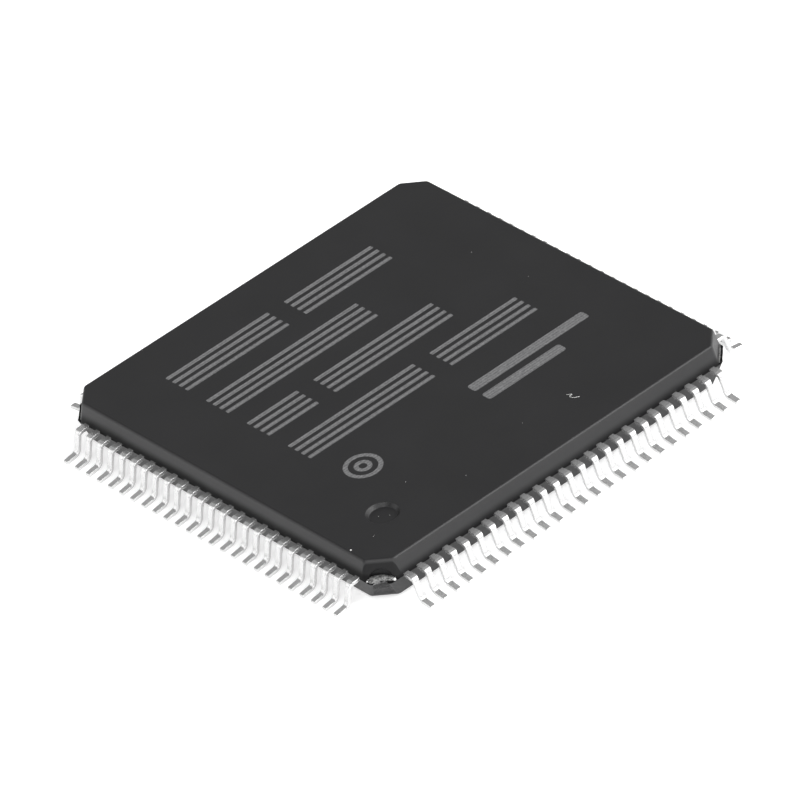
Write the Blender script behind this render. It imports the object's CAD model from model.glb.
import math

import bmesh
import bpy
import numpy as np
from mathutils import Matrix, Vector, noise
from mathutils.geometry import delaunay_2d_cdt


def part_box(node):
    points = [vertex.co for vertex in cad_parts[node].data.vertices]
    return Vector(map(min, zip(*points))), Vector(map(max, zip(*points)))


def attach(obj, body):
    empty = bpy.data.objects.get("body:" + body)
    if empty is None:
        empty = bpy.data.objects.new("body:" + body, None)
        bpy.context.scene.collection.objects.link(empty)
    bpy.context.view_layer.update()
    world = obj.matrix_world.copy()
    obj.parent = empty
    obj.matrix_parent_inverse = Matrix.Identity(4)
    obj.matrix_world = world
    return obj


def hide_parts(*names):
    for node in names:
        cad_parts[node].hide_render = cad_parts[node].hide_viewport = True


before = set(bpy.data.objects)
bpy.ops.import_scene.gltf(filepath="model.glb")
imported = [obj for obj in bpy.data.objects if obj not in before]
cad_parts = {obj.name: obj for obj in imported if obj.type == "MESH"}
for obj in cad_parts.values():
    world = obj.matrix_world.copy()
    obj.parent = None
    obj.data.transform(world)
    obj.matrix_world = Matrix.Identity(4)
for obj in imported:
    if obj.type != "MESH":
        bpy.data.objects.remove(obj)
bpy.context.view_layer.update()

# ------------------------------------------------------------------ sizes, in mm
MM = 0.001
_blo, _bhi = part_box("mould_body")
_llo, _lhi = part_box("leads_001_005")
HALF = _bhi.x / MM                      # half width of the body at the parting line
Z0, Z1 = _blo.z / MM, _bhi.z / MM       # underside and top face
TIP = -_llo.y / MM                      # distance of the lead tips from the centre
LEAD_T = 0.125
ZP = _lhi.z / MM - LEAD_T / 2           # parting line, through the middle of the leads
SQ2 = math.sqrt(2.0)


def tand(a):
    return math.tan(math.radians(a))


W_TOP = HALF - (Z1 - ZP) * tand(13)
W_BOT = HALF - (ZP - Z0) * tand(14.5)
D_TOP0 = (2 * HALF - 0.72) / SQ2
D_TOP1 = D_TOP0 - (Z1 - ZP) * tand(11)
D_BOT0 = [(2 * HALF - 0.58) / SQ2] * 3 + [(2 * HALF - 0.44) / SQ2]     # the last is the gate corner
A_BOT = 28.5
R_TOP, R_BOT, R_EDGE = 0.10, 0.10, 0.17


def hash01(*k):
    """A repeatable number from 0 to 1 for these whole numbers."""
    s = math.sin(sum((i + 1) * 12.9898 * (v + 0.37) for i, v in enumerate(k))) * 43758.5453
    return s - math.floor(s)


def smooth(a, b, x):
    t = min(1.0, max(0.0, (x - a) / (b - a)))
    return t * t * (3 - 2 * t)


def nz(p, scale, seed=0.0):
    """Smooth noise from about -1 to 1 at point p, in mm."""
    return noise.noise(Vector((p[0] * scale + seed, p[1] * scale - seed, p[2] * scale + 2 * seed)))


# ------------------------------------------------------------------ mesh helper
class Builder:
    """Collects faces by position, welds equal points and makes an object with
    normals worked out per smoothing group, so flat faces stay flat."""

    def __init__(self, tol=2e-4):
        self.co, self.key, self.faces = [], {}, []
        self.tol = tol

    def vert(self, p):
        k = tuple(int(round(c / self.tol)) for c in p)
        for dx in (0, -1, 1):
            for dy in (0, -1, 1):
                for dz in (0, -1, 1):
                    kk = (k[0] + dx, k[1] + dy, k[2] + dz)
                    i = self.key.get(kk)
                    if i is not None and max(abs(a - b) for a, b in zip(self.co[i], p)) < self.tol:
                        return i
        self.key[k] = len(self.co)
        self.co.append(tuple(float(c) for c in p))
        return len(self.co) - 1

    def face(self, pts, group=0, mat=0, weight=1.0):
        ids = [p if isinstance(p, int) else self.vert(p) for p in pts]
        out = []
        for i in ids:
            if not out or out[-1] != i:
                out.append(i)
        if len(out) > 1 and out[0] == out[-1]:
            out.pop()
        if len(set(out)) >= 3 and len(set(out)) == len(out):
            self.faces.append((out, group, mat, weight))

    def strip(self, a, b, group=0, mat=0, weight=1.0, closed=False, skip=()):
        """Quads between two rows of points that run the same way, b above a."""
        n = len(a)
        for i in range(n if closed else n - 1):
            if i in skip:
                continue
            j = (i + 1) % n
            self.face([a[i], a[j], b[j], b[i]], group, mat, weight)

    def object(self, name, materials):
        co = np.array(self.co, float)
        me = bpy.data.meshes.new(name)
        me.from_pydata((co * MM).tolist(), [], [f[0] for f in self.faces])
        bm = bmesh.new()
        bm.from_mesh(me)
        bmesh.ops.recalc_face_normals(bm, faces=bm.faces)
        bm.to_mesh(me)
        bm.free()
        me.update()
        self.faces = [(list(p.vertices), f[1], f[2], f[3]) for p, f in zip(me.polygons, self.faces)]
        normals = {}
        face_n = []
        for ids, group, mat, weight in self.faces:
            p = co[ids]
            n = np.zeros(3)
            for i in range(len(ids)):
                n += np.cross(p[i], p[(i + 1) % len(ids)])
            face_n.append(n)
            for i in ids:
                k = (i, group)
                normals[k] = normals.get(k, 0) + n * weight
        loops = []
        for (ids, group, mat, weight), poly in zip(self.faces, me.polygons):
            poly.use_smooth = True
            poly.material_index = mat
            for i in ids:
                n = normals[(i, group)]
                loops.append(n / (np.linalg.norm(n) or 1))
        for m in materials:
            me.materials.append(m)
        me.normals_split_custom_set([tuple(n) for n in loops])
        ob = bpy.data.objects.new(name, me)
        bpy.context.scene.collection.objects.link(ob)
        return ob


def inside(poly, p):
    """Whether each 2-D point of p lies in the polygon."""
    p = np.asarray(p, float)
    x, y = p[:, 0], p[:, 1]
    c = np.zeros(len(p), bool)
    q = np.asarray(poly, float)
    for a, b in zip(q, np.roll(q, -1, 0)):
        if a[1] == b[1]:
            continue
        hit = ((a[1] > y) != (b[1] > y)) & (x < (b[0] - a[0]) * (y - a[1]) / (b[1] - a[1]) + a[0])
        c ^= hit
    return c


def edge_distance(poly, p):
    """Distance of each 2-D point from the polygon's outline."""
    p = np.asarray(p, float)
    q = np.asarray(poly, float)
    best = np.full(len(p), 1e9)
    for a, b in zip(q, np.roll(q, -1, 0)):
        d = b - a
        t = np.clip(((p - a) @ d) / max(d @ d, 1e-18), 0, 1)
        best = np.minimum(best, np.linalg.norm(p - (a + t[:, None] * d), axis=1))
    return best


def kept_faces(vo, fo, uvb):
    """Faces of a triangulation whose centre lies within its outline."""
    ok = inside(uvb, [np.mean([[vo[i][0], vo[i][1]] for i in f], 0) for f in fo])
    return [f for f, k in zip(fo, ok) if k]


def patch(builder, boundary, e1, e2, spacing, group=0, mat=0, weight=1.0, features=(),
          shift=None, classify=None, clear=0.45, keep=None, moved=None):
    """Fills a nearly flat closed boundary (points in 3-D, counter-clockwise about
    e1 x e2) with well-shaped triangles. features are closed 2-D loops kept as
    edges; shift(p3, uv) moves each inner point; classify(uv) gives a material."""
    e1, e2 = np.asarray(e1, float), np.asarray(e2, float)
    n = np.cross(e1, e2)
    B = np.asarray(boundary, float)
    h = float(np.mean(B @ n))
    uvb = np.stack([B @ e1, B @ e2], 1).astype(np.float32).astype(float)
    pts = [tuple(p) for p in uvb]
    nb = len(pts)
    edges = []
    for loop in features:
        base = len(pts)
        pts += [tuple(p) for p in loop]
        edges += [(base + i, base + (i + 1) % len(loop)) for i in range(len(loop))]
    lo, hi = uvb.min(0), uvb.max(0)
    grid = []
    if spacing:
        rows = int((hi[1] - lo[1]) / (spacing * 0.866)) + 2
        cols = int((hi[0] - lo[0]) / spacing) + 2
        for r in range(rows):
            for c in range(cols):
                grid.append((lo[0] + (c + 0.5 * (r % 2)) * spacing, lo[1] + r * spacing * 0.866))
        grid = np.array(grid)
        ok = inside(uvb, grid) & (edge_distance(uvb, grid) > clear * spacing)
        for loop in features:
            ok &= edge_distance(loop, grid) > 0.3 * min(spacing, 0.3)
        if keep is not None:
            ok &= np.array([keep(g) for g in grid])
        pts += [tuple(p) for p in grid[ok]]
    vo, _, fo, orig, _, _ = delaunay_2d_cdt([Vector(p) for p in pts], edges, [list(range(nb))], 1, 1e-7, True)
    pos = []
    for v, o in zip(vo, orig):
        b = [i for i in o if i < nb]
        if b:
            pos.append(B[b[0]] if moved is None else moved[b[0]])
        else:
            p = e1 * v[0] + e2 * v[1] + n * h
            pos.append(p if shift is None else shift(p, (v[0], v[1])))
    for f in kept_faces(vo, fo, uvb):
        c = np.mean([[vo[i][0], vo[i][1]] for i in f], 0)
        ids = list(f)
        a = 0.0
        for i in range(len(ids)):
            p, q = vo[ids[i]], vo[ids[(i + 1) % len(ids)]]
            a += p[0] * q[1] - q[0] * p[1]
        if a < 0:
            ids.reverse()
        m = mat if classify is None else classify(c)
        builder.face([pos[i] for i in ids], group, m, weight)


# ------------------------------------------------------------------ material helper
class Nodes:
    def __init__(self, name):
        self.m = bpy.data.materials.new(name)
        self.m.use_nodes = True
        self.t = self.m.node_tree
        self.t.nodes.clear()
        self.out = self.t.nodes.new("ShaderNodeOutputMaterial")
        self.p = self.t.nodes.new("ShaderNodeBsdfPrincipled")
        self.t.links.new(self.p.outputs["BSDF"], self.out.inputs["Surface"])
        tc = self.t.nodes.new("ShaderNodeTexCoord")
        s = self.t.nodes.new("ShaderNodeVectorMath")
        s.operation = "SCALE"
        s.inputs["Scale"].default_value = 1000.0
        self.t.links.new(tc.outputs["Object"], s.inputs[0])
        self.mm = s.outputs["Vector"]            # position in mm

    def link(self, a, b):
        self.t.links.new(a, b)

    def noise(self, scale, detail=2.0, rough=0.5, distort=0.0, vector=None):
        n = self.t.nodes.new("ShaderNodeTexNoise")
        n.inputs["Scale"].default_value = scale
        n.inputs["Detail"].default_value = detail
        n.inputs["Roughness"].default_value = rough
        n.inputs["Distortion"].default_value = distort
        self.link(vector or self.mm, n.inputs["Vector"])
        return n.outputs["Fac"]

    def voronoi(self, scale, vector=None, feature="F1"):
        n = self.t.nodes.new("ShaderNodeTexVoronoi")
        n.feature = feature
        n.inputs["Scale"].default_value = scale
        self.link(vector or self.mm, n.inputs["Vector"])
        return n.outputs["Distance"]

    def stretch(self, v):
        n = self.t.nodes.new("ShaderNodeVectorMath")
        n.operation = "MULTIPLY"
        n.inputs[1].default_value = v
        self.link(self.mm, n.inputs[0])
        return n.outputs["Vector"]

    def math(self, op, a, b=None, c=None, clamp=False):
        n = self.t.nodes.new("ShaderNodeMath")
        n.operation = op
        n.use_clamp = clamp
        for i, x in enumerate((a, b, c)):
            if x is None:
                continue
            if isinstance(x, (int, float)):
                n.inputs[i].default_value = x
            else:
                self.link(x, n.inputs[i])
        return n.outputs[0]

    def range(self, x, a, b, c, d, soft=False):
        n = self.t.nodes.new("ShaderNodeMapRange")
        if soft:
            n.interpolation_type = "SMOOTHSTEP"
        self.link(x, n.inputs["Value"])
        for k, v in zip(("From Min", "From Max", "To Min", "To Max"), (a, b, c, d)):
            n.inputs[k].default_value = v
        return n.outputs["Result"]

    def ramp(self, x, stops):
        n = self.t.nodes.new("ShaderNodeValToRGB")
        e = n.color_ramp.elements
        while len(e) < len(stops):
            e.new(0.5)
        for el, (pos, col) in zip(e, stops):
            el.position = pos
            el.color = (*col, 1.0)
        self.link(x, n.inputs["Fac"])
        return n.outputs["Color"]

    def mix(self, fac, a, b):
        n = self.t.nodes.new("ShaderNodeMix")
        n.data_type = "RGBA"
        for sock, x in ((n.inputs[0], fac), (n.inputs[6], a), (n.inputs[7], b)):
            if isinstance(x, (int, float)):
                sock.default_value = x
            elif isinstance(x, tuple):
                sock.default_value = (*x, 1.0)
            else:
                self.link(x, sock)
        return n.outputs[2]

    def bump(self, height, distance, strength=1.0, normal=None):
        n = self.t.nodes.new("ShaderNodeBump")
        n.inputs["Strength"].default_value = strength
        n.inputs["Distance"].default_value = distance * MM
        self.link(height, n.inputs["Height"])
        if normal is not None:
            self.link(normal, n.inputs["Normal"])
        return n.outputs["Normal"]

    def set(self, **k):
        for name, v in k.items():
            self.p.inputs[name.replace("_", " ")].default_value = v


# ------------------------------------------------------------------ materials
GATE_LINE = (D_TOP0 - (Z1 - R_TOP - ZP) * tand(11)) * SQ2 - 0.01     # -(x + y) on the gate corner's face


def mould_material(name, rough_broken=False):
    """Near-black epoxy moulding compound with the fine eroded grain of the mould."""
    n = Nodes(name)
    grain = n.noise(26.0, 3.0, 0.62)
    fine = n.noise(75.0, 2.0, 0.55)
    cloud = n.noise(0.55, 2.0, 0.5)
    tone = n.math("ADD", n.math("MULTIPLY", grain, 0.62), n.math("MULTIPLY", cloud, 0.38))
    base = n.ramp(tone, [(0.30, MOULD_DARK), (0.70, MOULD_LIGHT)])
    # filler grains: sparse paler points
    cell = n.voronoi(21.0)
    spot = n.range(cell, 0.035, 0.10, 1.0, 0.0, True)
    pick = n.range(n.noise(9.0, 1.0), 0.58, 0.66, 0.0, 0.55)
    base = n.mix(n.math("MULTIPLY", spot, pick), base, MOULD_SPECK)
    # the sides are dull and a little darker close to the parting line
    sep = n.t.nodes.new("ShaderNodeSeparateXYZ")
    n.link(n.mm, sep.inputs[0])
    left = n.range(n.math("SUBTRACT", n.math("MULTIPLY", sep.outputs["X"], -1.0),
                          n.math("ABSOLUTE", sep.outputs["Y"])), 0.0, 0.05, 0.0, 0.09)
    high = n.math("SUBTRACT", n.math("ADD", sep.outputs["Z"], n.math("MULTIPLY", n.math("SUBTRACT", cloud, 0.5), 0.10)), left)
    line = n.range(high, ZP + 0.02, ZP + 0.32, 0.0, 1.0, True)
    upper = n.range(sep.outputs["Z"], ZP - 0.02, ZP, 0.0, 1.0)
    # and so is the face of the gate corner
    gate = n.range(n.math("ADD", sep.outputs["X"], sep.outputs["Y"]), -GATE_LINE - 0.02, -GATE_LINE, 0.75, 0.0)
    dull = n.math("MULTIPLY", upper, n.math("MAXIMUM", n.math("SUBTRACT", 1.0, line), gate))
    base = n.mix(n.math("MULTIPLY", dull, 0.75), base, (0.003, 0.003, 0.0032))
    n.link(base, n.p.inputs["Base Color"])
    lo, hi = MOULD_ROUGH
    n.link(n.range(grain, 0.3, 0.7, lo, hi), n.p.inputs["Roughness"])
    n.link(n.range(dull, 0.0, 1.0, MOULD_SPEC, MOULD_SPEC * 0.22), n.p.inputs["Specular IOR Level"])
    if rough_broken:
        b = n.bump(n.noise(34.0, 4.0, 0.7), 0.020, 1.0)
        n.link(n.bump(fine, 0.004, 0.8, b), n.p.inputs["Normal"])
    else:
        b = n.bump(grain, MOULD_BUMP, 1.0)
        n.link(n.bump(fine, MOULD_BUMP * 0.3, 1.0, b), n.p.inputs["Normal"])
    return n.m


def etched_material(name):
    """Laser-etched compound: paler, mottled, with the fine lines of the beam."""
    n = Nodes(name)
    mott = n.noise(13.0, 3.0, 0.65)
    dots = n.voronoi(17.0)
    wave = n.t.nodes.new("ShaderNodeTexWave")
    wave.bands_direction = "Y"
    wave.inputs["Scale"].default_value = 3.1
    wave.inputs["Distortion"].default_value = 1.2
    wave.inputs["Detail"].default_value = 2.0
    n.link(n.mm, wave.inputs["Vector"])
    tone = n.math("ADD", n.math("MULTIPLY", mott, 0.62),
                  n.math("ADD", n.math("MULTIPLY", dots, 0.22), n.math("MULTIPLY", wave.outputs["Fac"], 0.16)))
    n.link(n.ramp(tone, [(0.28, ETCH_DARK), (0.72, ETCH_LIGHT)]), n.p.inputs["Base Color"])
    n.link(n.range(mott, 0.3, 0.7, 0.75, 0.95), n.p.inputs["Roughness"])
    n.set(Specular_IOR_Level=0.22)
    n.link(n.bump(tone, 0.010, 0.8), n.p.inputs["Normal"])
    return n.m


def tin_material(name):
    """Matt tin plating over the formed leads."""
    n = Nodes(name)
    grain = n.noise(42.0, 3.0, 0.6)
    patch_ = n.noise(7.0, 3.0, 0.6, 0.4)
    drawn = n.noise(11.0, 2.0, 0.6, 0.0, n.stretch((1.0, 1.0, 0.18)))
    tone = n.math("ADD", n.math("MULTIPLY", patch_, 0.6), n.math("MULTIPLY", grain, 0.4))
    n.link(n.ramp(tone, [(0.30, TIN_DARK), (0.68, TIN_LIGHT)]), n.p.inputs["Base Color"])
    n.set(Metallic=0.80)
    lo, hi = TIN_ROUGH
    n.link(n.range(n.math("ADD", n.math("MULTIPLY", patch_, 0.7), n.math("MULTIPLY", drawn, 0.3)),
                   0.3, 0.7, lo, hi), n.p.inputs["Roughness"])
    b = n.bump(patch_, TIN_BUMP, 1.0)
    n.link(n.bump(grain, TIN_BUMP * 0.35, 1.0, b), n.p.inputs["Normal"])
    return n.m


def scar_material(name):
    """Sheared tie bar and torn resin left at a corner."""
    n = Nodes(name)
    mott = n.noise(20.0, 4.0, 0.7)
    big = n.noise(5.0, 2.0, 0.5)
    tone = n.math("ADD", n.math("MULTIPLY", mott, 0.6), n.math("MULTIPLY", big, 0.4))
    n.link(n.ramp(tone, [(0.36, (0.035, 0.035, 0.036)), (0.5, (0.20, 0.20, 0.20)), (0.66, (0.52, 0.52, 0.51))]),
           n.p.inputs["Base Color"])
    n.link(n.range(mott, 0.35, 0.65, 0.35, 0.75), n.p.inputs["Roughness"])
    n.link(n.range(tone, 0.42, 0.6, 0.15, 0.85), n.p.inputs["Metallic"])
    n.link(n.bump(mott, 0.02, 1.0), n.p.inputs["Normal"])
    return n.m


def plain_metal(name, dark, light, rough, scale, bump):
    n = Nodes(name)
    g = n.noise(scale, 3.0, 0.6)
    n.link(n.ramp(g, [(0.3, dark), (0.7, light)]), n.p.inputs["Base Color"])
    n.set(Metallic=1.0)
    n.link(n.range(n.noise(scale * 0.3, 2.0), 0.3, 0.7, rough * 0.8, rough * 1.3), n.p.inputs["Roughness"])
    n.link(n.bump(g, bump, 0.7), n.p.inputs["Normal"])
    return n.m


def plain_solid(name, dark, light, rough, scale, bump, spec=0.5):
    n = Nodes(name)
    g = n.noise(scale, 3.0, 0.6)
    n.link(n.ramp(g, [(0.3, dark), (0.7, light)]), n.p.inputs["Base Color"])
    n.link(n.range(n.noise(scale * 0.4, 2.0), 0.3, 0.7, rough * 0.85, rough * 1.15), n.p.inputs["Roughness"])
    n.set(Specular_IOR_Level=spec)
    n.link(n.bump(g, bump, 0.7), n.p.inputs["Normal"])
    return n.m


MOULD_DARK, MOULD_LIGHT, MOULD_SPECK = (0.0110, 0.0109, 0.0116), (0.0170, 0.0168, 0.0178), (0.07, 0.07, 0.072)
MOULD_ROUGH, MOULD_SPEC, MOULD_BUMP = (0.38, 0.50), 0.48, 0.0016
ETCH_DARK, ETCH_LIGHT = (0.105, 0.105, 0.107), (0.225, 0.225, 0.228)
TIN_DARK, TIN_LIGHT, TIN_ROUGH, TIN_BUMP = (0.62, 0.62, 0.62), (0.71, 0.71, 0.71), (0.22, 0.28), 0.0004

MOULD = mould_material("moulding_compound")
TORN = mould_material("torn_compound", True)
ETCH = etched_material("laser_etched")
TIN = tin_material("tin_plating")
SCAR = scar_material("sheared_tie_bar")
COPPER = plain_metal("copper_frame", (0.62, 0.33, 0.21), (0.80, 0.47, 0.33), 0.32, 30.0, 0.001)
GOLD = plain_metal("gold_wire", (0.86, 0.60, 0.22), (0.98, 0.76, 0.36), 0.20, 60.0, 0.0004)
SILICON = plain_solid("polished_silicon", (0.045, 0.050, 0.065), (0.075, 0.080, 0.100), 0.16, 6.0, 0.0002, 0.8)
FILM = plain_solid("silver_filled_film", (0.30, 0.30, 0.29), (0.48, 0.48, 0.46), 0.55, 40.0, 0.002)
DUST = plain_solid("pale_dust", (0.55, 0.55, 0.54), (0.85, 0.85, 0.83), 0.7, 60.0, 0.002)

# ------------------------------------------------------------------ body outline
NA = 6          # steps round a vertical edge
NW = 28         # steps along a wall


def fillet(w1, z1, r, a, z, up):
    """Inset width near a rounded edge: w1 at height z1, radius r, draft a."""
    ar = math.radians(a)
    t = r * math.tan((math.pi / 2 - ar) / 2)
    h = (z - (z1 - up * r)) * up          # height above the circle's centre
    if h <= r * math.sin(ar):
        return None
    return w1 - t + math.sqrt(max(0.0, r * r - min(h, r) ** 2))


def w_top(z):
    f = fillet(W_TOP, Z1, R_TOP, 13, z, 1)
    return HALF - (z - ZP) * tand(13) if f is None else f


def d_top(z):
    f = fillet(D_TOP1, Z1, R_TOP, 11, z, 1)
    return D_TOP0 - (z - ZP) * tand(11) if f is None else f


def w_bot(z):
    f = fillet(W_BOT, Z0, R_BOT, 14.5, z, -1)
    return HALF - (ZP - z) * tand(14.5) if f is None else f


def d_bot(z, corner):
    f = fillet(D_BOT0[corner] - (ZP - Z0) * tand(A_BOT), Z0, R_BOT, A_BOT, z, -1)
    return D_BOT0[corner] - (ZP - z) * tand(A_BOT) if f is None else f


def corner_fracs(corner, top):
    if top and corner == 3:
        L = 0.509 - 0.41421 * R_EDGE
        s = [0.375, 0.365, 0.355, 0.345, 0.335, 0.325, 0.25, 0.17, 0.08]
        f = [-1] + [-v / L for v in s] + [0] + [v / L for v in reversed(s)] + [1]
        return f
    n = 12 if corner != 3 else 24
    return [-1 + 2 * i / n for i in range(n + 1)]


XT0 = (D_TOP0 - R_EDGE) * SQ2 - (HALF - R_EDGE)      # end of a wall's straight part at the parting line


def ring(z, w, ds, rc, top):
    """Outline at height z, one list of labelled chains for each side:
    wall, first edge, corner face, second edge."""
    out = []
    for side in range(4):
        cx = (ds[side] - rc) * SQ2 - (w - rc)
        cl = (ds[side - 1] - rc) * SQ2 - (w - rc)
        a = math.radians(90 * side)
        ca, sa = round(math.cos(a)), round(math.sin(a))

        def tr(x, y):
            return (x * ca - y * sa, x * sa + y * ca, z)

        if top:
            us = [-cl + (cx + cl) * i / NW for i in range(NW + 1)]
        else:
            kx = cx / ((D_BOT0[side] - R_EDGE) * SQ2 - (HALF - R_EDGE)) * XT0
            kl = cl / ((D_BOT0[side - 1] - R_EDGE) * SQ2 - (HALF - R_EDGE)) * XT0
            us = [-cl] + [-kl + (kx + kl) * i / NW for i in range(NW + 1)] + [cx]
        wall = [tr(u, -w) for u in us]
        arc1 = [tr(cx + rc * math.cos(math.radians(-90 + 45 * j / NA)), -(w - rc) + rc * math.sin(math.radians(-90 + 45 * j / NA)))
                for j in range(NA + 1)]
        arc2 = [tr((w - rc) + rc * math.cos(math.radians(-45 + 45 * j / NA)), -cx + rc * math.sin(math.radians(-45 + 45 * j / NA)))
                for j in range(NA + 1)]
        a0, b0 = np.array(arc1[-1]), np.array(arc2[0])
        corner = [tuple(a0 + (b0 - a0) * (f + 1) / 2) for f in corner_fracs(side, top)]
        out.append({"wall": wall, "arc1": arc1, "corner": corner, "arc2": arc2})
    return out


def flat_ring(r):
    pts = []
    for s in r:
        pts += s["wall"][:-1] + s["arc1"][:-1] + s["corner"][:-1] + s["arc2"][:-1]
    return pts


def relief(p):
    """The half-round gate relief in the (-,-) corner face: moves a point of that
    face inwards along the diagonal."""
    u = -(p[0] + p[1]) / SQ2
    s = (p[0] - p[1]) / SQ2
    r = math.hypot(s, p[2] - ZP)
    depth = d_top(p[2]) - (D_TOP0 - 0.10)
    if depth <= 0:
        return p
    k = 1 - smooth(0.322, 0.366, r)
    k *= depth
    rough = 0.004 * nz(p, 22.0, 3.0) * (1 if r < 0.32 else 0)
    m = (k + rough * (k > 0.005)) / SQ2
    return (p[0] + m, p[1] + m, p[2])


def chipped(p, corner):
    """Moves a point of a bottom corner face inwards where the resin has broken away."""
    if corner != 3:
        a = math.radians(90 * corner + 45)
        t = p[0] * math.cos(a) + p[1] * math.sin(a)
        k = 0.020 * (0.5 + 0.5 * nz((t, p[2], corner), 5.0, 2.0)) * smooth(0.40, 0.62, p[2]) * (1 - smooth(0.26, 0.36, abs(t)))
        return (p[0] - k * math.sin(a), p[1] + k * math.cos(a), p[2])
    t = (p[0] - p[1]) / SQ2
    h = (ZP - p[2])
    lo_, hi_ = -0.235 - 0.16 * h, 0.185 + 0.42 * h
    wob = 0.012 * nz((t, p[2], 0.0), 9.0, 4.0)
    k = smooth(lo_ - 0.015, lo_ + 0.035, t + wob) * (1 - smooth(hi_ - 0.035, hi_ + 0.015, t + wob))
    k *= 0.105 * (1 - smooth(-0.02, 0.30, h)) + 0.028 * (1 - smooth(0.45, 0.60, h))
    k *= 1 + 0.30 * nz(p, 12.0, 9.0)
    return (p[0] + k / SQ2, p[1] + k / SQ2, p[2])


# generic etched marks: rows of fine parallel lines, a ring and two plain bars
HW = 0.075


def hatch(x0, x1, y, n=4, pitch=0.29):
    return [("line", x0, x1, y + (i - (n - 1) / 2) * pitch, HW) for i in range(n)]


MARKS = []
MARKS += hatch(-4.55, -0.55, 4.62) + hatch(0.10, 3.55, 4.62)
MARKS += hatch(-4.55, 1.35, 2.80)
MARKS += hatch(-4.55, -2.60, 0.98) + hatch(-1.95, 2.70, 0.98)
MARKS += hatch(-4.55, 0.35, -0.84) + hatch(1.00, 4.40, -0.84)
MARKS += [("ring", -3.85, -2.86, 0.52, HW), ("ring", -3.85, -2.86, 0.20, HW)]
MARKS += [("line", 0.55, 5.10, -2.66, 0.19), ("line", 0.55, 3.60, -3.30, 0.19)]


def mark_sdf(m, p):
    if m[0] == "line":
        _, x0, x1, y, hw = m
        r = hw * 0.45
        dx = max(x0 + r - p[0], p[0] - (x1 - r), 0.0)
        dy = max(y - hw + r - p[1], p[1] - (y + hw - r), 0.0)
        ins = max(x0 + r - p[0], p[0] - (x1 - r), y - hw + r - p[1], p[1] - (y + hw - r))
        return math.hypot(dx, dy) - r if (dx or dy) else min(ins, 0.0) - r
    _, cx, cy, rad, hw = m
    return abs(math.hypot(p[0] - cx, p[1] - cy) - rad) - hw


def mark_loops(m, inset):
    if m[0] == "line":
        _, x0, x1, y, hw = m
        r = hw * 0.45
        q = max(r - inset, 0.004)
        xa, xb, ya, yb = x0 + r, x1 - r, y - hw + r, y + hw - r
        loop = []
        for cx, cy, a0 in ((xb, ya, -90), (xb, yb, 0), (xa, yb, 90), (xa, ya, 180)):
            loop += [(cx + q * math.cos(math.radians(a0 + 30 * j)), cy + q * math.sin(math.radians(a0 + 30 * j))) for j in range(4)]
        out = []
        for a, b in zip(loop, loop[1:] + loop[:1]):
            L = math.hypot(b[0] - a[0], b[1] - a[1])
            k = max(1, int(L / 0.45))
            out += [(a[0] + (b[0] - a[0]) * i / k, a[1] + (b[1] - a[1]) * i / k) for i in range(k)]
        return [out]
    _, cx, cy, rad, hw = m
    return [[(cx + (rad + s * (hw - inset)) * math.cos(2 * math.pi * i / 48), cy + (rad + s * (hw - inset)) * math.sin(2 * math.pi * i / 48))
             for i in range(48)] for s in (1, -1)]


ETCH_DEPTH = 0.010
DIM_X = DIM_Y = -5.0
DIM_PROFILE = [(0.535, 0.0), (0.520, 0.0012), (0.508, 0.0060), (0.498, 0.0140), (0.489, 0.0240), (0.430, 0.0960),
               (0.421, 0.1060), (0.410, 0.1140), (0.397, 0.1190), (0.382, 0.1200)]


def dimple_depth(r):
    if r >= DIM_PROFILE[0][0]:
        return 0.0
    for (r0, h0), (r1, h1) in zip(DIM_PROFILE, DIM_PROFILE[1:]):
        if r >= r1:
            return h0 + (h1 - h0) * (r0 - r) / (r0 - r1)
    return DIM_PROFILE[-1][1]


def chip_chain(chain, s):
    """The chain with all but its end points moved by the chips."""
    return [chain[0]] + [chipped(p, s) for p in chain[1:-1]] + [chain[-1]]


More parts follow.
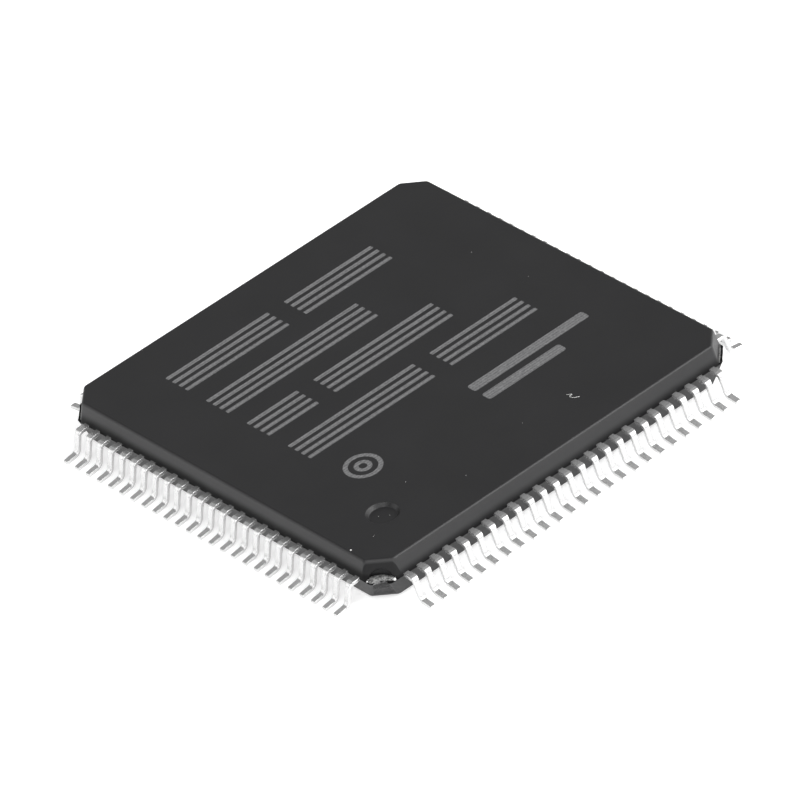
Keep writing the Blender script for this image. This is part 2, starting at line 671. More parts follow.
def build_body():
    b = Builder()
    t13 = math.radians(13)
    zf = Z1 - R_TOP + R_TOP * math.sin(t13)
    zs = [ZP, ZP + 0.012, 0.90, 1.0, 1.1, 1.2, 1.3, zf - 0.018, zf]
    steps = 7
    zs += [Z1 - R_TOP + R_TOP * math.sin(t13 + (math.pi / 2 - t13) * i / steps) for i in range(1, steps + 1)]
    rows = []
    for z in zs:
        inset = (HALF - (z - ZP) * tand(13)) - w_top(z)
        rows.append(ring(z, w_top(z), [d_top(z)] * 4, R_EDGE - inset, True))
    # the parting line isn't perfectly even: a few thousandths of flash
    nf = zs.index(zf)
    for lower, upper, k in zip(rows, rows[1:], range(len(rows))):
        for s in range(4):
            big = k < nf
            b.strip(lower[s]["wall"], upper[s]["wall"], 0, 0, 60.0 if big else 1.0)
            b.strip(lower[s]["arc1"], upper[s]["arc1"], 0, 0, 1.0)
            b.strip(lower[s]["arc2"], upper[s]["arc2"], 0, 0, 1.0)
            if not big:
                b.strip(lower[s]["corner"], upper[s]["corner"], 0, 0, 1.0)
    # corner faces of the top half
    for s in range(4):
        a = math.radians(90 * s + 45)
        ca, sa = math.cos(a), math.sin(a)
        # local axes: e1 along the face, e2 up its slope
        e1 = np.array([ca * 1.0, sa * 1.0, 0.0])
        nrm = np.array([sa * math.cos(math.radians(11)), -ca * math.cos(math.radians(11)), math.sin(math.radians(11))])
        e2 = np.cross(nrm, e1)
        bottom = rows[0][s]["corner"]
        if s == 3:
            bottom = [relief(p) for p in bottom]
        right = [rows[k][s]["corner"][-1] for k in range(1, nf)]
        topc = rows[nf][s]["corner"]
        left = [rows[k][s]["corner"][0] for k in range(nf - 1, 0, -1)]
        # boundary in the flat face; the relief's own dip is applied afterwards
        flat_bottom = rows[0][s]["corner"]
        boundary = list(flat_bottom) + right + list(reversed(list(reversed(topc))))[::-1] + left
        if s == 3:
            B = [tuple(p) for p in boundary]
            feats = []
            for rr in (0.372, 0.362, 0.350, 0.338, 0.328, 0.318):
                arc = []
                for i in range(25):
                    an = math.pi * i / 24
                    sx, zz = rr * math.cos(an), ZP + rr * math.sin(an)
                    # point on the face at that height
                    dd = D_TOP0 - (zz - ZP) * tand(11)
                    p = np.array([-(dd) / SQ2 + sx / SQ2, -(dd) / SQ2 - sx / SQ2, zz])
                    arc.append((float(p @ e1), float(p @ e2)))
                feats.append(arc)
            corner_patch_near(b, boundary, e1, e2, feats, len(flat_bottom))
        else:
            patch(b, boundary, e1, e2, 0.11, 0, 0, 60.0)
    # top face
    top_ring = flat_ring(rows[-1])
    inner = [(p[0] * (1 - 0.03 / HALF), p[1] * (1 - 0.03 / HALF)) for p in top_ring]
    feats = [inner]
    for r, _ in DIM_PROFILE:
        feats.append([(DIM_X + r * math.cos(2 * math.pi * i / 96), DIM_Y + r * math.sin(2 * math.pi * i / 96)) for i in range(96)])
    for m in MARKS:
        for inset in (0.0, 0.008):
            feats += mark_loops(m, inset)
    cx, cy = DIM_X, DIM_Y

    def top_shift(p, uv):
        r = math.hypot(uv[0] - cx, uv[1] - cy)
        if r < 0.6:
            h = dimple_depth(r)
            return (p[0], p[1], Z1 - h)
        for m in MARKS:
            s = mark_sdf(m, uv)
            if s < 0:
                return (p[0], p[1], Z1 - ETCH_DEPTH * min(1.0, -s / 0.008))
        return (p[0], p[1], Z1)

    def top_class(c):
        for m in MARKS:
            if mark_sdf(m, c) < 0:
                return 1
        return 0

    patch(b, top_ring, (1, 0, 0), (0, 1, 0), 0.5, 0, 0, 60.0, feats, top_shift, top_class,
          keep=lambda g: math.hypot(g[0] - cx, g[1] - cy) > 0.56 or math.hypot(g[0] - cx, g[1] - cy) < 0.3)
    patch_dimple_weights(b)

    # bottom half
    t14 = math.radians(14.5)
    zg = Z0 + R_BOT - R_BOT * math.sin(t14)
    zb = [ZP, ZP - 0.012, 0.68, 0.55, 0.42, 0.30, zg + 0.04, zg + 0.015, zg]
    zb += [Z0 + R_BOT - R_BOT * math.sin(t14 + (math.pi / 2 - t14) * i / 6) for i in range(1, 7)]
    rowb = []
    for z in zb:
        inset = (HALF - (ZP - z) * tand(14.5)) - w_bot(z)
        rowb.append(ring(z, w_bot(z), [d_bot(z, s) for s in range(4)], R_EDGE - min(inset, 0.09), False))
    ng = zb.index(zg)
    for k in range(len(rowb) - 1):
        hi_, lo_ = rowb[k], rowb[k + 1]
        for s in range(4):
            big = k < ng
            b.strip(lo_[s]["wall"], hi_[s]["wall"], 2, 0, 60.0 if big else 1.0)
            b.strip(lo_[s]["arc1"], hi_[s]["arc1"], 2, 0, 1.0)
            b.strip(lo_[s]["arc2"], hi_[s]["arc2"], 2, 0, 1.0)
            if not big:
                b.strip(lo_[s]["corner"], hi_[s]["corner"], 2, 0, 1.0)
    for s in range(4):
        a = math.radians(90 * s + 45)
        ca, sa = math.cos(a), math.sin(a)
        e1 = np.array([ca, sa, 0.0])
        nrm = np.array([sa * math.cos(math.radians(A_BOT)), -ca * math.cos(math.radians(A_BOT)), -math.sin(math.radians(A_BOT))])
        e2 = np.cross(nrm, e1)
        bottom = rowb[ng][s]["corner"]
        right = [rowb[k][s]["corner"][-1] for k in range(ng - 1, 0, -1)]
        topc = chip_chain(rowb[0][s]["corner"], s)
        left = [rowb[k][s]["corner"][0] for k in range(1, ng)]
        boundary = list(bottom) + right + list(topc)[::-1] + left
        flat_b = list(bottom) + right + list(rowb[0][s]["corner"])[::-1] + left
        uvb = np.array([[float(np.dot(p, e1)), float(np.dot(p, e2))] for p in flat_b])

        def torn(p, uv, nrm=nrm, uvb=uvb, s=s):
            d = float(edge_distance(uvb, [uv])[0])
            k = smooth(0.0, 0.05, d)
            h = 0.010 * nz(p, 7.0, 11.0 + s) + 0.008 * nz(p, 17.0, 5.0 + s) + 0.004 * nz(p, 38.0, 2.0 + s)
            return chipped(tuple(np.asarray(p) + nrm * (h - 0.004) * k), s)

        patch(b, flat_b, e1, e2, 0.030, 2, 2, 1.0, (), torn, moved=boundary)
    # ledges between the halves at the corners
    for s in range(4):
        T, B = rows[0][s], rowb[0][s]
        nxt = (s + 1) % 4
        tchain = T["arc1"][:-1] + ([relief(p) for p in T["corner"]] if s == 3 else T["corner"]) + T["arc2"][1:]
        bchain = [B["wall"][-2]] + B["arc1"][:-1] + chip_chain(B["corner"], s) + B["arc2"][1:] + [rowb[0][nxt]["wall"][1]]
        loop = bchain + tchain[::-1]
        out = []
        for p in loop:
            if not out or max(abs(a - c) for a, c in zip(out[-1], p)) > 1e-4:
                out.append(p)
        if max(abs(a - c) for a, c in zip(out[0], out[-1])) < 1e-4:
            out.pop()
        patch(b, out, (1, 0, 0), (0, 1, 0), 0.06, 1, 0, 1.0)
    # underside
    under = flat_ring(rowb[-1])[::-1]
    patch(b, under, (0, 1, 0), (1, 0, 0), 1.0, 2, 0, 60.0)
    return b


def corner_patch_near(b, boundary, e1, e2, feats, nbottom):
    """The near corner face with its half-round relief. The arcs meet the bottom edge
    at points that are already on it, so they are given as open chains."""
    n = np.cross(e1, e2)
    B = np.asarray(boundary, float)
    h = float(np.mean(B @ n))
    uvb = np.stack([B @ e1, B @ e2], 1).astype(np.float32).astype(float)
    pts = [tuple(p) for p in uvb]
    nb = len(pts)
    edges = []
    for arc in feats:
        base = len(pts)
        inner = arc[1:-1]
        pts += inner
        edges += [(base + i, base + i + 1) for i in range(len(inner) - 1)]
        for end, k in ((arc[0], 0), (arc[-1], len(inner) - 1)):
            j = int(np.argmin(np.linalg.norm(uvb[:nbottom] - np.array(end), axis=1)))
            edges.append((j, base + k))
    lo, hi = uvb.min(0), uvb.max(0)
    grid = np.array([(lo[0] + (c + 0.5 * (r % 2)) * 0.06, lo[1] + r * 0.052) for r in range(40) for c in range(40)])
    ok = inside(uvb, grid) & (edge_distance(uvb, grid) > 0.02)
    for arc in feats:
        ok &= edge_distance(arc, grid) > 0.008
    pts += [tuple(p) for p in grid[ok]]
    vo, _, fo, orig, _, _ = delaunay_2d_cdt([Vector(p) for p in pts], edges, [list(range(nb))], 1, 1e-7, True)
    pos = []
    for v, o in zip(vo, orig):
        bb = [i for i in o if i < nb]
        p = B[bb[0]] if bb else np.asarray(e1) * v[0] + np.asarray(e2) * v[1] + n * h
        pos.append(relief(tuple(p)))
    for f in kept_faces(vo, fo, uvb):
        ids = list(f)
        a = 0.0
        for i in range(len(ids)):
            p, q = vo[ids[i]], vo[ids[(i + 1) % len(ids)]]
            a += p[0] * q[1] - q[0] * p[1]
        if a < 0:
            ids.reverse()
        flat = all(abs(pos[i][0] - (np.asarray(e1) * vo[i][0] + np.asarray(e2) * vo[i][1] + n * h)[0]) < 1e-5 for i in ids)
        b.face([pos[i] for i in ids], 0, 0, 60.0 if flat else 1.0)


def patch_dimple_weights(b):
    """Curved parts of the dimple and the etched walls get ordinary weights."""
    for k, (ids, group, mat, weight) in enumerate(b.faces):
        if weight > 1 and group == 0:
            z = [b.co[i][2] for i in ids]
            if max(z) > Z1 - 0.13 and (max(z) - min(z)) > 1e-5 and all(abs(b.co[i][0]) < 6.7 and abs(b.co[i][1]) < 6.7 for i in ids):
                b.faces[k] = (ids, group, mat, 1.0)


body = build_body().object("moulded_body", [MOULD, ETCH, TORN])
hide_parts("mould_body")
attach(body, "root")

# ------------------------------------------------------------------ leads
LEAN, SLOPE = 14.0, 8.0
SHOULDER_R, HEEL_R, FLAT = 0.14, 0.22, 0.006
LEG_X = HALF + 0.345


def centre_line(lean, dtip, dleg):
    """Centre line of a gull wing outside the body: (distance, height, heading)."""
    A = 90 - lean
    ar, fr = math.radians(A), math.radians(SLOPE)
    u = np.array([math.cos(ar), -math.sin(ar)])
    f = np.array([math.cos(fr), -math.sin(fr)])
    p1 = np.array([LEG_X + dleg, ZP])
    toe = np.array([TIP + dtip - LEAD_T / 2 * math.sin(fr), LEAD_T / 2 * math.cos(fr) - FLAT])
    cr = lambda a, c: a[0] * c[1] - a[1] * c[0]
    p2 = p1 + u * (cr(toe - p1, f) / cr(u, f))
    t1 = SHOULDER_R * math.tan(ar / 2)
    t2 = HEEL_R * math.tan((ar - fr) / 2)
    c1 = np.array([p1[0] - t1, ZP - SHOULDER_R])
    b2 = p2 - t2 * u
    c2 = b2 + HEEL_R * np.array([math.sin(ar), math.cos(ar)])
    out = []
    for i in range(15):
        th = math.radians(90 - A * i / 14)
        out.append((c1[0] + SHOULDER_R * math.cos(th), c1[1] + SHOULDER_R * math.sin(th), -A * i / 14))
    s1 = out[-1]
    for k in (1, 2, 3):
        q = np.array(s1[:2]) + (b2 - np.array(s1[:2])) * k / 4
        out.append((q[0], q[1], -A))
    for i in range(10):
        hd = A + (SLOPE - A) * i / 9
        th = math.radians(-90 - hd)
        out.append((c2[0] + HEEL_R * math.cos(th), c2[1] + HEEL_R * math.sin(th), -hd))
    s2 = out[-1]
    for k in (1, 2, 3):
        q = np.array(s2[:2]) + (toe - np.array(s2[:2])) * k / 4
        out.append((q[0], q[1], -SLOPE))
    return out, toe, f


def half_width(d):
    pts = [(0, 0.10), (HALF + 0.03, 0.10), (HALF + 0.055, 0.105), (HALF + 0.095, 0.120), (HALF + 0.12, 0.125),
           (HALF + 0.305, 0.125), (HALF + 0.325, 0.116), (HALF + 0.345, 0.104), (HALF + 0.36, 0.10), (20, 0.10)]
    return float(np.interp(d, [p[0] for p in pts], [p[1] for p in pts]))


NS = 4


def section(a, b, rc):
    """Rounded rectangle as (across, up, normal across, normal up)."""
    rc = min(rc, a * 0.98, b * 0.98)
    out = []
    for sx, sy, a0 in ((1, 1, 0), (-1, 1, 90), (-1, -1, 180), (1, -1, 270)):
        for j in range(NS + 1):
            t = math.radians(a0 + 90 * j / NS)
            out.append((sx * (a - rc) + rc * math.cos(t), sy * (b - rc) + rc * math.sin(t), math.cos(t), math.sin(t)))
    return out


def make_lead(n):
    """Rings of one lead on the -Y side: list of (points, normals)."""
    k = (n - 1) % 25
    x0 = (k - 12) * 0.5
    r = [hash01(n, j) - 0.5 for j in range(8)]
    lean = LEAN + 0.9 * r[0]
    line, toe, f = centre_line(lean, 0.010 * r[1], 0.010 * r[2])
    skew = 0.014 * r[3]
    # finger inside the mould, then the exit
    qx, qy = (k - 12) * 0.31, 3.95 + 0.045 * abs(k - 12)
    st = [(qy, ZP, 0.0, qx, 0.065, 0.003), (HALF - 0.45, ZP, 0.0, x0, 0.10, 0.003),
          (HALF - 0.06, ZP, 0.0, x0, 0.10, 0.012), (HALF - 0.02, ZP, 0.0, x0, 0.10, 0.022)]
    for d in (HALF + 0.01, HALF + 0.03, HALF + 0.055, HALF + 0.075, HALF + 0.095, HALF + 0.108, HALF + 0.12, HALF + 0.155, HALF + 0.195):
        st.append((d, ZP, 0.0, x0, half_width(d), LEAD_EDGE))
    total = TIP - HALF
    for d, z, h in line:
        st.append((d, z, h, x0 + skew * max(0.0, (d - HALF - 0.3) / total) + 0.0, half_width(d), LEAD_EDGE))
    rings = []
    for d, z, h, cx, a, rc in st:
        hr = math.radians(h)
        nd, nzz = -math.sin(hr), math.cos(hr)
        pts, nor = [], []
        for p, q, np_, nq in section(a, LEAD_T / 2, rc):
            pts.append((cx + p, d + q * nd, z + q * nzz))
            nor.append((np_, nq * nd, nq * nzz))
        rings.append((pts, nor))
    # rounded toe
    re = 0.022
    hr = math.radians(-SLOPE)
    nd, nzz = -math.sin(hr), math.cos(hr)
    cx = x0 + skew
    for i in range(4):
        be = math.radians(90 * i / 3)
        off, ins = re * math.sin(be), re * (1 - math.cos(be))
        c = toe + f * (off - re)
        pts, nor = [], []
        for p, q, np_, nq in section(half_width(8) - ins, LEAD_T / 2 - ins, max(LEAD_EDGE - ins, 0.006)):
            pts.append((cx + p, c[0] + q * nd, c[1] + q * nzz))
            v = np.array([np_ * math.cos(be), nq * nd * math.cos(be) + f[0] * math.sin(be), nq * nzz * math.cos(be) + f[1] * math.sin(be)])
            nor.append(tuple(v / np.linalg.norm(v)))
        rings.append((pts, nor))
    return rings


LEAD_EDGE = 0.032


def lead_group(first):
    verts, faces, norms = [], [], []
    for n in range(first, first + 5):
        a = math.radians(90 * ((n - 1) // 25))
        ca, sa = round(math.cos(a)), round(math.sin(a))
        rings = make_lead(n)
        base = len(verts)
        m = len(rings[0][0])

        def tr(x, d, z):
            return (x * ca + d * sa, x * sa - d * ca, z)

        vn = []
        for pts, nor in rings:
            for (x, d, z), (nx, ndd, nzz) in zip(pts, nor):
                verts.append(tuple(c * MM for c in tr(x, d, max(z, 0.0))))
                vn.append(tr(nx, ndd, nzz))
        for i in range(len(rings) - 1):
            for j in range(m):
                j2 = (j + 1) % m
                ids = (base + i * m + j, base + i * m + j2, base + (i + 1) * m + j2, base + (i + 1) * m + j)
                faces.append(ids)
                norms += [vn[q - base] for q in ids]
        # end faces as fans about their middle
        for ring_i, flip, axis in ((0, False, (0.0, -1.0, 0.0)), (len(rings) - 1, True, None)):
            pts, nor = rings[ring_i]
            c = np.mean(np.array(pts), 0)
            verts.append(tuple(q * MM for q in tr(c[0], c[1], max(c[2], 0.0))))
            ci = len(verts) - 1
            hr = math.radians(-SLOPE)
            axn = (0.0, -1.0, 0.0) if axis else (0.0, math.cos(hr), math.sin(hr))
            for j in range(m):
                j2 = (j + 1) % m
                ids = (base + ring_i * m + j2, base + ring_i * m + j, ci)
                if flip:
                    ids = (ids[1], ids[0], ids[2])
                faces.append(ids)
                norms += [tr(*axn)] * 3
            vn.append(None)
    me = bpy.data.meshes.new("x")
    me.from_pydata(verts, [], faces)
    me.update()
    # outward faces: check the signed volume
    v = np.array(verts)
    vol = 0.0
    for f_ in faces:
        for i in range(1, len(f_) - 1):
            vol += np.dot(v[f_[0]], np.cross(v[f_[i]], v[f_[i + 1]]))
    if vol < 0:
        new, out = [], []
        k = 0
        for f_ in faces:
            nn = norms[k:k + len(f_)]
            k += len(f_)
            new.append(tuple(reversed(f_)))
            out += list(reversed(nn))
        faces, norms = new, out
        bpy.data.meshes.remove(me)
        me = bpy.data.meshes.new("x")
        me.from_pydata(verts, [], faces)
        me.update()
    for p in me.polygons:
        p.use_smooth = True
    me.materials.append(TIN)
    me.normals_split_custom_set([tuple(n_) for n_ in norms])
    name = "pins_%03d_%03d" % (first, first + 4)
    me.name = name
    ob = bpy.data.objects.new(name, me)
    bpy.context.scene.collection.objects.link(ob)
    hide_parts("leads_%03d_%03d" % (first, first + 4))
    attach(ob, "root")
    return ob


for first in range(1, 101, 5):
    lead_group(first)

# ------------------------------------------------------------------ paddle with its tie bars
Z_L0, Z_L1 = ZP - LEAD_T / 2, ZP + LEAD_T / 2
Z_P0 = Z_L0 - 0.24
Z_P1 = Z_P0 + LEAD_T


def build_paddle():
    """Die paddle, four tie bars set down to it, and their sheared flared ends."""
    b = Builder(2e-5)
    w = 3.4
    # one closed shell: a plan outline extruded, with a height that follows the plan
    kink = LEAD_T * math.tan(math.atan(0.24 / 0.3) / 2)

    def low(s):
        return float(np.interp(s, [4.95, 5.25], [Z_P0, Z_L0]))

    def high(s):
        return float(np.interp(s, [4.95 - kink, 5.25 - kink], [Z_P1, Z_L1]))

    for q in range(4):
        a = math.radians(90 * q + 45)
        ca, sa = math.cos(a), math.sin(a)

        def P(s, t, z):
            return (s * ca - t * sa, s * sa + t * ca, z)

        st = [4.60, 4.75, 4.95 - kink, 4.95, 5.25 - kink, 5.25, 6.0, 7.0, 8.0, 8.93]
        hw = [0.15] * len(st)
        # flared end outside the seal, up to the sheared edge
        end = D_TOP0 + 0.03
        flare = [(end - 0.45, 0.15), (end - 0.28, 0.38), (end - 0.12, 0.40), (end - 0.06, 0.41)]
        st += [f_[0] for f_ in flare]
        hw += [f_[1] for f_ in flare]
        prev = None
        nt = 24
        for s, h in zip(st, hw):
            row = []
            zl, zh = low(s), high(s)
            loop = [P(s, -h + 2 * h * i / nt, zl) for i in range(nt + 1)] + [P(s, h - 2 * h * i / nt, zh) for i in range(nt + 1)]
            if prev is not None:
                b.strip(prev, loop, 0, 2 if s > 9.0 else 0, 1.0, True)
            prev = loop
        # sheared end: a rough face whose edge wanders
        rows = []
        nv = 6
        for v in range(nv + 1):
            row = []
            for i in range(nt + 1):
                t = -0.41 + 0.82 * i / nt
                z = Z_L0 + LEAD_T * v / nv
                edge = min(smooth(0, 0.25, i / nt), smooth(0, 0.25, 1 - i / nt)) * 0.5 + 0.5
                s = end - 0.005 + 0.030 * nz((t, z, q), 6.0, 7.0 + q) + 0.016 * nz((t, z, q), 15.0, 1.0 + q)
                s -= 0.030 * (1 - edge)
                zz = z
                if v == 0:
                    zz = z + 0.018 * nz((t, 0, q), 9.0, 4.0)
                if v == nv:
                    zz = z + 0.014 * nz((t, 1, q), 9.0, 8.0)
                row.append(P(s, t, zz))
            rows.append(row)
        lo_row = prev[:nt + 1]
        hi_row = prev[nt + 1:][::-1]
        for v in range(nv):
            b.strip(rows[v], rows[v + 1], 1, 1, 1.0)
        b.strip(lo_row, rows[0], 1, 1, 1.0)
        b.strip(rows[-1], hi_row, 1, 1, 1.0)
        # sides of the rough end
        for i_, rev in ((0, False), (nt, True)):
            col = [r_[i_] for r_ in rows]
            a0, a1 = lo_row[i_], hi_row[i_]
            c = [a0] + col + [a1]
            b.face(c if rev else c[::-1], 1, 1, 1.0)
        # start of the bar is inside the paddle
        first = [P(4.60, -0.15 + 0.3 * i / nt, Z_P0) for i in range(nt + 1)] + [P(4.60, 0.15 - 0.3 * i / nt, Z_P1) for i in range(nt + 1)]
        b.face(first[::-1], 2, 0, 1.0)
    # paddle plate with a small bevel
    c = 0.02
    def sq(h, z):
        return [(-h, -h, z), (h, -h, z), (h, h, z), (-h, h, z)]
    ringz = [sq(w - c, Z_P0), sq(w, Z_P0 + c), sq(w, Z_P1 - c), sq(w - c, Z_P1)]
    for a_, b_ in zip(ringz, ringz[1:]):
        b.strip(a_, b_, 3, 0, 1.0, True)
    b.face(ringz[0][::-1], 4, 0)
    b.face(ringz[-1], 5, 0)
    return b


def blob(b, c, r, seed, mat, q=2, rough=0.18):
    """A small irregular rounded lump of metal, centre and radii as (along the
    corner face, outwards, up)."""
    a = math.radians(90 * q + 45)
    ca, sa = math.cos(a), math.sin(a)
    nu, nv = 18, 10
    rows = []
    for i in range(nv + 1):
        th = math.pi * (i + 0.02) / (nv + 0.04) - math.pi / 2
        row = []
        for j in range(nu):
            ph = 2 * math.pi * j / nu
            d = (math.cos(th) * math.cos(ph), math.cos(th) * math.sin(ph), math.sin(th))
            k = 1 + rough * nz(d, 1.6, seed)
            t, s, z = (c[m] + r[m] * k * d[m] for m in range(3))
            row.append((s * ca - t * sa, s * sa + t * ca, z))
        rows.append(row)
    for lo_, hi_ in zip(rows, rows[1:]):
        b.strip(lo_[::-1], hi_[::-1], 7, mat, 1.0, True)
    b.face(rows[0], 7, mat)
    b.face(rows[-1][::-1], 7, mat)


def gate_remnant(b, mat):
    """Torn resin and frame left over the sheared bar at the gate corner."""
    T = [-0.42, -0.38, -0.33, -0.27, -0.22, -0.14, -0.03, 0.04, 0.10, 0.16, 0.22, 0.28, 0.33]
    ZH = [0.800, 0.850, 0.868, 0.885, 0.905, 0.920, 0.930, 0.935, 0.930, 0.900, 0.870, 0.840, 0.815]
    ZL = [0.775, 0.738, 0.700, 0.695, 0.705, 0.712, 0.715, 0.735, 0.755, 0.762, 0.745, 0.725, 0.755]
    AO = [9.430, 9.460, 9.520, 9.530, 9.490, 9.465, 9.455, 9.450, 9.446, 9.442, 9.445, 9.442, 9.430]
    a = math.radians(225)
    ca, sa = math.cos(a), math.sin(a)
    rows = []
    n = 66
    for i in range(n + 1):
        t = T[0] + (T[-1] - T[0]) * i / n
        zh, zl, ao = (float(np.interp(t, T, v)) for v in (ZH, ZL, AO))
        if i in (0, n):
            zh, zl = (zh * 0.6 + zl * 0.4), (zl * 0.6 + zh * 0.4)
        prof = [(9.25, 0.82), (9.29, zh - 0.006), (9.325, zh), (9.365, zh + 0.002), (9.40, zh - 0.014),
                (ao - 0.026, zh - 0.038), (ao - 0.010, zh * 0.7 + zl * 0.3), (ao, (zh + zl) / 2), (ao - 0.004, zh * 0.25 + zl * 0.75),
                (ao - 0.016, zl + 0.008), (ao - 0.045, zl), (9.36, zl + 0.004), (9.25, 0.78)]
        # subdivide the visible part
        fine = [prof[0]]
        for p0, p1 in zip(prof, prof[1:]):
            k = 2 if p0 in (prof[0], prof[-2]) else 3
            fine += [(p0[0] + (p1[0] - p0[0]) * m / k, p0[1] + (p1[1] - p0[1]) * m / k) for m in range(1, k + 1)]
        row = []
        for s, z in fine:
            if s > 9.28:
                w = 0.020 * nz((t, s, z), 8.0, 3.0) + 0.015 * nz((t, s, z), 19.0, 6.0) + 0.007 * nz((t, s, z), 41.0, 1.0)
                s, z = s + w * 0.8, z + 0.9 * w + 0.010 * nz((t, s, z), 14.0, 21.0)
            row.append((s * ca - t * sa, s * sa + t * ca, z))
        rows.append(row)
    for lo_, hi_ in zip(rows, rows[1:]):
        b.strip(lo_, hi_, 6, mat, 1.0, True)
    b.face(rows[0][::-1], 6, mat)
    b.face(rows[-1], 6, mat)


pb = build_paddle()
gate_remnant(pb, 1)
blob(pb, (-0.405, 9.438, 0.824), (0.034, 0.034, 0.034), 2.0, 2)
blob(pb, (0.372, 9.425, 0.790), (0.066, 0.055, 0.082), 5.0, 2)
blob(pb, (0.335, 9.430, 0.755), (0.045, 0.045, 0.045), 9.0, 2)
paddle = pb.object("paddle_and_tie_bars", [COPPER, SCAR, TIN])
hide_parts("die_paddle_and_tie_bars")
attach(paddle, "root")

# ------------------------------------------------------------------ inner CAD nodes keep their shape
for node, mat in (("die_attach_film", FILM), ("silicon_die", SILICON), ("bond_wires_pins_001_025", GOLD),
                  ("bond_wires_pins_026_050", GOLD), ("bond_wires_pins_051_075", GOLD), ("bond_wires_pins_076_100", GOLD)):
    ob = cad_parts[node]
    ob.data.materials.clear()
    ob.data.materials.append(mat)

# ------------------------------------------------------------------ dust and lint
def grain(b, x, y, z, r, seed):
    """An irregular flattened grain lying on a face at height z."""
    n, rows = 10, []
    for i, (rr, hh) in enumerate(((0.55, 0.0), (1.0, 0.30), (0.85, 0.75), (0.40, 1.0))):
        rows.append([(x + r * rr * (1 + 0.35 * (hash01(seed, j, i) - 0.5)) * math.cos(2 * math.pi * j / n),
                      y + r * rr * (1 + 0.35 * (hash01(seed, j, i + 9) - 0.5)) * math.sin(2 * math.pi * j / n),
                      z - 0.002 + r * 0.9 * hh) for j in range(n)])
    for a_, c_ in zip(rows, rows[1:]):
        b.strip(a_, c_, 0, 0, 1.0, True)
    b.face(rows[0][::-1], 0)
    b.face(rows[-1], 0)


def fibre(b, pts, r):
    """A fine lint fibre along a smooth path."""
    P = [np.array(p, float) for p in pts]
    path = []
    for i in range(len(P) - 1):
        p0, p1, p2, p3 = P[max(i - 1, 0)], P[i], P[i + 1], P[min(i + 2, len(P) - 1)]
        for t in np.linspace(0, 1, 6, endpoint=(i == len(P) - 2)):
            path.append(0.5 * ((2 * p1) + (-p0 + p2) * t + (2 * p0 - 5 * p1 + 4 * p2 - p3) * t * t + (-p0 + 3 * p1 - 3 * p2 + p3) * t ** 3))
    rows = []
    for i, p in enumerate(path):
        d = path[min(i + 1, len(path) - 1)] - path[max(i - 1, 0)]
        d /= np.linalg.norm(d)
        s = np.cross(d, (0, 0, 1.0)); s /= np.linalg.norm(s)
        u = np.cross(s, d)
        k = r * (0.55 if i in (0, len(path) - 1) else 1.0)
        rows.append([tuple(p + k * (s * math.cos(a) + u * math.sin(a))) for a in [2 * math.pi * j / 8 for j in range(8)]])
    for a_, c_ in zip(rows, rows[1:]):
        b.strip(a_, c_, 0, 0, 1.0, True)
    b.face(rows[0][::-1], 0)
    b.face(rows[-1], 0)


db = Builder(1e-4)
SPECKS = [(-6.745, -5.58, 1.436, 0.032), (-5.92, -5.63, Z1, 0.010), (-5.86, -5.60, Z1, 0.008), (-3.62, -4.45, Z1, 0.010),
          (-2.35, -5.65, Z1, 0.009), (0.35, -5.12, Z1, 0.008), (5.15, 2.40, Z1, 0.010), (5.35, 0.10, Z1, 0.009),
          (-5.1, -4.9, Z1 - 0.12, 0.010), (-4.86, -5.12, Z1 - 0.12, 0.008)]
for i_, (x_, y_, z_, r_) in enumerate(SPECKS):
    grain(db, x_, y_, z_, r_, i_)
fibre(db, [(2.054, -5.148, Z1 + 0.006), (2.158, -5.271, Z1 + 0.012), (2.042, -5.294, Z1 + 0.018),
           (2.081, -5.428, Z1 + 0.012), (2.228, -5.529, Z1 + 0.006)], 0.0075)
dust = db.object("dust_and_lint", [DUST])
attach(dust, "root")

# ------------------------------------------------------------------ floor
fm = bpy.data.meshes.new("floor")
S = 3.0
fm.from_pydata([(-S, -S, 0), (S, -S, 0), (S, S, 0), (-S, S, 0)], [], [(0, 1, 2, 3)])
fm.update()
floor = bpy.data.objects.new("floor", fm)
bpy.context.scene.collection.objects.link(floor)
fmat = bpy.data.materials.new("floor_white")
fmat.use_nodes = True
ft = fmat.node_tree
ft.nodes.clear()
fo_ = ft.nodes.new("ShaderNodeOutputMaterial")
fd = ft.nodes.new("ShaderNodeBsdfDiffuse")
fd.inputs["Color"].default_value = (0.86, 0.86, 0.86, 1)
fe = ft.nodes.new("ShaderNodeEmission")
fe.inputs["Color"].default_value = (1, 1, 1, 1)
fe.inputs["Strength"].default_value = 0.56
fa = ft.nodes.new("ShaderNodeAddShader")
ft.links.new(fd.outputs[0], fa.inputs[0])
ft.links.new(fe.outputs[0], fa.inputs[1])
ft.links.new(fa.outputs[0], fo_.inputs["Surface"])
fmat.cycles.emission_sampling = "NONE"
fm.materials.append(fmat)

# ------------------------------------------------------------------ soft studio light
LIGHT = {
    "base": 0.18,                       # even light from all round
    "right": 2.4, "left": 2.2,          # broad low panels at either side of the camera
    "edge": 6.0, "front": 3.6,          # small higher panels that light the top edges
    "back": 0.20,                       # weak panel behind the part
    "side": 1.5,                        # panel along the left wall
}
world = bpy.data.worlds.new("studio")
bpy.context.scene.world = world
world.use_nodes = True
wt = world.node_tree
wt.nodes.clear()
wo = wt.nodes.new("ShaderNodeOutputWorld")
wb = wt.nodes.new("ShaderNodeBackground")
wt.links.new(wb.outputs[0], wo.inputs["Surface"])
wc = wt.nodes.new("ShaderNodeTexCoord")


def wmath(op, a, b=None):
    n = wt.nodes.new("ShaderNodeMath")
    n.operation = op
    for i, x in enumerate((a, b)):
        if x is None:
            continue
        if isinstance(x, (int, float)):
            n.inputs[i].default_value = x
        else:
            wt.links.new(x, n.inputs[i])
    return n


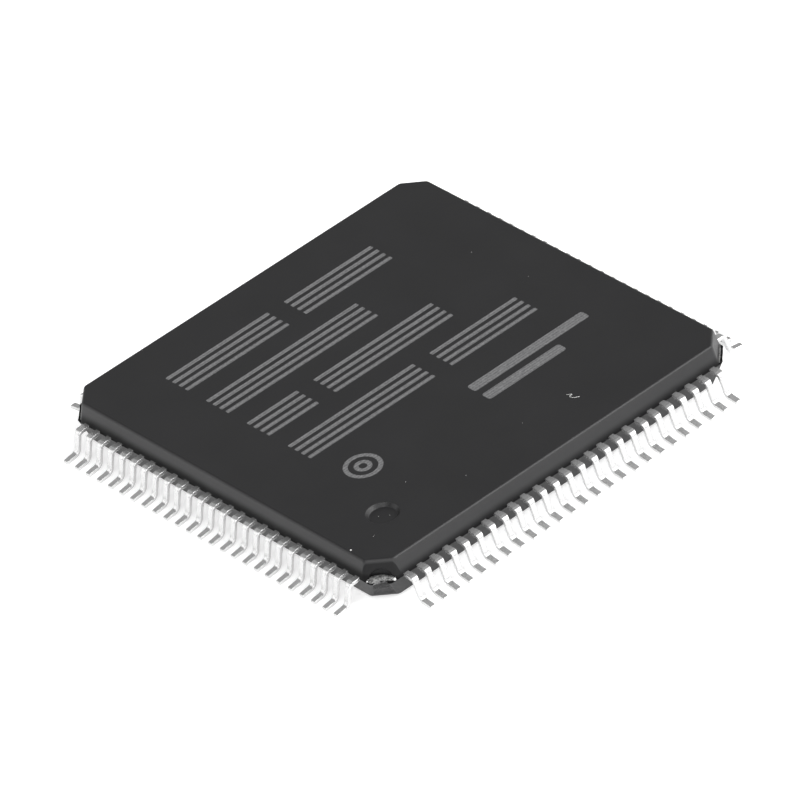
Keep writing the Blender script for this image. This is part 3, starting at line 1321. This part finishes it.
def lobe(direction, inner, outer, strength, name):
    """Smooth round panel of light about a direction, from inner to outer degrees."""
    d = Vector(direction).normalized()
    dp = wt.nodes.new("ShaderNodeVectorMath")
    dp.operation = "DOT_PRODUCT"
    dp.inputs[1].default_value = d
    wt.links.new(wc.outputs["Generated"], dp.inputs[0])
    mr = wt.nodes.new("ShaderNodeMapRange")
    mr.interpolation_type = "SMOOTHSTEP"
    wt.links.new(dp.outputs["Value"], mr.inputs["Value"])
    mr.inputs["From Min"].default_value = math.cos(math.radians(outer))
    mr.inputs["From Max"].default_value = math.cos(math.radians(inner))
    m = wmath("MULTIPLY", mr.outputs["Result"], strength)
    m.name = "k_" + name
    return m.outputs[0]


def direction(az, el):
    """az: degrees from +X towards +Y."""
    a, e = math.radians(az), math.radians(el)
    return (math.cos(a) * math.cos(e), math.sin(a) * math.cos(e), math.sin(e))


base = wmath("ADD", LIGHT["base"], 0.0)
base.name = "k_base"
parts = [lobe(direction(330, 20), 8, 42, LIGHT["right"], "right"),
         lobe(direction(240, 10), 10, 48, LIGHT["left"], "left"),
         lobe(direction(-51, 43), 6, 22, LIGHT["edge"], "edge"),
         lobe(direction(-148, 53), 5, 18, LIGHT["front"], "front"),
         lobe(direction(72, 36), 10, 52, LIGHT["back"], "back"),
         lobe(direction(136, 22), 8, 30, LIGHT["side"], "side")]
acc = base.outputs[0]
for p_ in parts:
    acc = wmath("ADD", acc, p_).outputs[0]
wt.links.new(acc, wb.inputs["Strength"])
wb.inputs["Color"].default_value = (1.0, 1.0, 1.0, 1.0)

# ------------------------------------------------------------------ camera
AZ, EL, ROLL = -35.5912, 35.6287, -10.6626
DIST, LENS = 303.1656, 10448.18 * 36 / 800
TARGET = np.array([-0.5272, -0.6251, 0.78])
a_, e_ = math.radians(AZ), math.radians(EL)
back = np.array([math.sin(a_) * math.cos(e_), -math.cos(a_) * math.cos(e_), math.sin(e_)])
right = np.array([math.cos(a_), math.sin(a_), 0.0])
up = np.cross(back, right)
r_ = math.radians(ROLL)
cam_r, cam_u = math.cos(r_) * right + math.sin(r_) * up, -math.sin(r_) * right + math.cos(r_) * up
OFFSET = (0.5, 0.5)                      # pixels right and down at 800 x 800
px = DIST / 10448.18
TARGET = TARGET - OFFSET[0] * px * cam_r + OFFSET[1] * px * cam_u
cam = bpy.data.objects.new("camera", bpy.data.cameras.new("camera"))
bpy.context.scene.collection.objects.link(cam)
cam.data.sensor_width = 36.0
cam.data.lens = LENS
cam.data.clip_start = 0.02
cam.data.clip_end = 20.0
loc = (TARGET + back * DIST) * MM
cam.matrix_world = Matrix((
    (cam_r[0], cam_u[0], back[0], loc[0]),
    (cam_r[1], cam_u[1], back[1], loc[1]),
    (cam_r[2], cam_u[2], back[2], loc[2]),
    (0, 0, 0, 1)))
bpy.context.scene.camera = cam
bpy.context.scene.view_settings.view_transform = "Standard"
bpy.context.scene.view_settings.look = "None"
